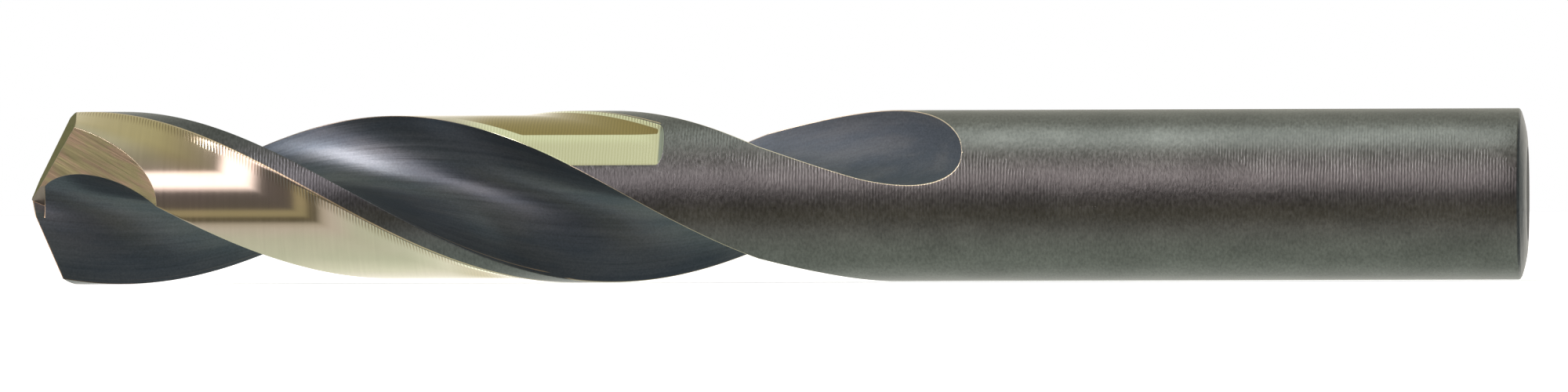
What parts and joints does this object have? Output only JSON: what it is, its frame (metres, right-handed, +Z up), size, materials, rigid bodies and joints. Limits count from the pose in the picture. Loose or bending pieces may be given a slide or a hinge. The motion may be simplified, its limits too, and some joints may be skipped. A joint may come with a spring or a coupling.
{
  "type": "stub length twist drill",
  "caption": "Right-hand twist drill bit for drilling metal, stub length, with a split point, spiral flutes, cleared lands and a plain straight shank.",
  "frame": {"origin": "under the middle of the drill's length, on the surface that it lies on", "axes": "+X along the drill's axis, from the point to the shank end; +Z up, away from the surface that it lies on"},
  "size_m": [0.0826, 0.0094, 0.0095],
  "materials": {
    "tool_steel": "satin black oxide on the flutes, lands and shank; straw-gold ground steel on the body clearance and the point"
  },
  "bodies": {
    "root": {"twist_drill": "tool_steel"}
  },
  "joints": []
}
